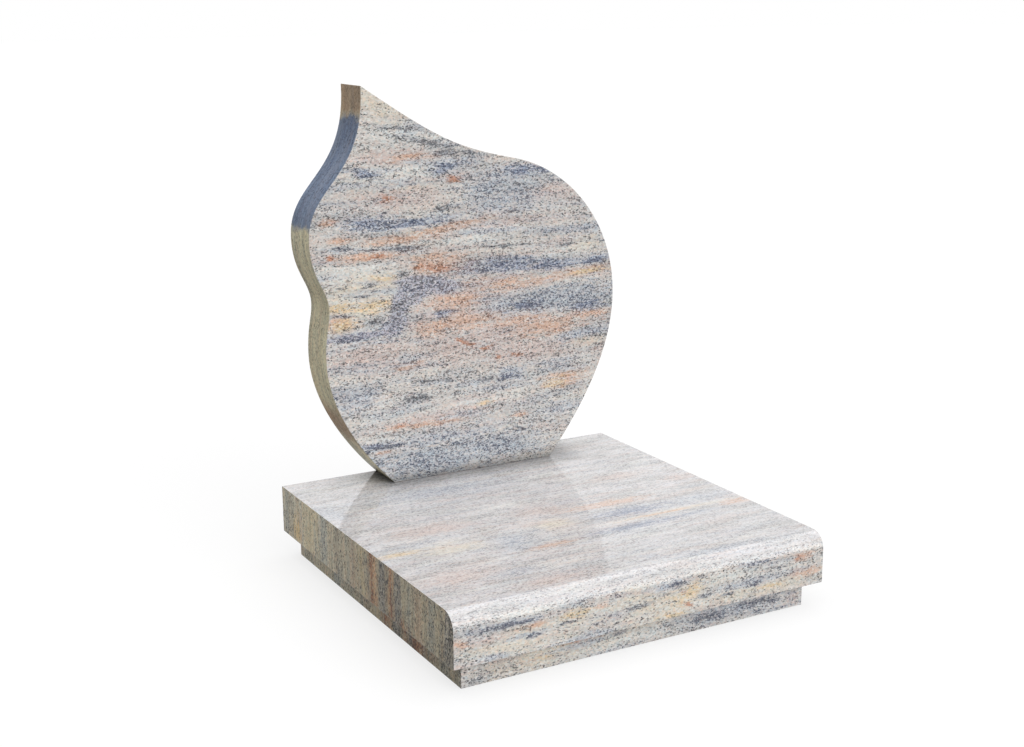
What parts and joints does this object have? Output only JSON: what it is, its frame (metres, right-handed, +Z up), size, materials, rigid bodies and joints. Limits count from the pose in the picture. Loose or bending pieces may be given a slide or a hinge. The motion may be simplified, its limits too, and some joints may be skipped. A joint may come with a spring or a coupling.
{
  "type": "cremation memorial",
  "caption": "Polished granite cremation memorial: a flame-shaped headstone standing on the back of a square base slab with a rounded front edge, over an inset plinth.",
  "frame": {"origin": "centre of the plinth's underside, at ground level", "axes": "+Z up, the front with the rounded slab edge faces -Y, +X to the right seen from the front"},
  "size_m": [0.6, 0.6, 0.739],
  "materials": {
    "plinth_granite": "polished banded granite",
    "slab_granite": "polished banded granite",
    "headstone_granite": "polished banded granite"
  },
  "bodies": {
    "root": {"plinth": "plinth_granite", "base_slab": "slab_granite", "headstone": "headstone_granite"}
  },
  "joints": []
}
